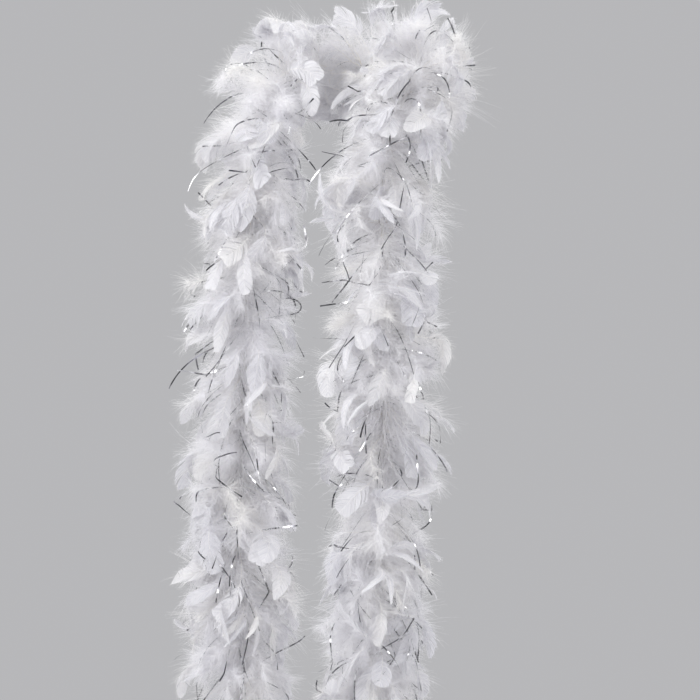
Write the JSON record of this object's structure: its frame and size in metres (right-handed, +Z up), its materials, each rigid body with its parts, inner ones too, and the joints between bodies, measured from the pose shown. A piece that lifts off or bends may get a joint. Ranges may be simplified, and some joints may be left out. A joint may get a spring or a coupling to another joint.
{
  "type": "feather boa",
  "caption": "Soft white feather boa with silver tinsel, hung round a wearer's neck so that both ends fall down the front.",
  "frame": {"origin": "the point on the nape of the wearer's neck that the middle of the boa rests on", "axes": "+Z up, -Y the way the wearer faces, +X towards the wearer's left"},
  "size_m": [0.352, 0.3382, 0.942],
  "materials": {
    "feather": "matte",
    "tinsel": "gloss",
    "core_cord": "matte",
    "thread": "satin"
  },
  "bodies": {
    "root": {"core_cord": "core_cord", "feather_bunch_01": "feather", "feather_bunch_02": "feather", "feather_bunch_03": "feather", "feather_bunch_04": "feather", "feather_bunch_05": "feather", "feather_bunch_06": "feather", "feather_bunch_07": "feather", "feather_bunch_08": "feather", "feather_bunch_09": "feather", "feather_bunch_10": "feather", "feather_bunch_11": "feather", "feather_bunch_12": "feather", "feather_bunch_13": "feather", "feather_bunch_14": "feather", "feather_bunch_15": "feather", "feather_bunch_16": "feather", "feather_bunch_17": "feather", "feather_bunch_18": "feather", "feather_bunch_19": "feather", "feather_bunch_20": "feather", "feather_bunch_21": "feather", "feather_bunch_22": "feather", "feather_bunch_23": "feather", "feather_bunch_24": "feather", "feather_bunch_25": "feather", "feather_bunch_26": "feather", "feather_bunch_27": "feather", "feather_bunch_28": "feather", "feather_bunch_29": "feather", "feather_bunch_30": "feather", "feather_bunch_31": "feather", "feather_bunch_32": "feather", "feather_bunch_33": "feather", "feather_bunch_34": "feather", "feather_bunch_35": "feather", "feather_bunch_36": "feather", "feather_bunch_37": "feather", "feather_bunch_38": "feather", "feather_bunch_39": "feather", "feather_bunch_40": "feather", "tinsel_spray_01": "tinsel", "tinsel_spray_02": "tinsel", "tinsel_spray_03": "tinsel", "tinsel_spray_04": "tinsel", "tinsel_spray_05": "tinsel", "tinsel_spray_06": "tinsel", "tinsel_spray_07": "tinsel", "tinsel_spray_08": "tinsel", "tinsel_spray_09": "tinsel", "tinsel_spray_10": "tinsel", "tinsel_spray_11": "tinsel", "tinsel_spray_12": "tinsel", "tinsel_spray_13": "tinsel", "end_whipping_a": "thread", "end_whipping_b": "thread", "end_knot_a": "core_cord", "end_knot_b": "core_cord"}
  },
  "joints": []
}
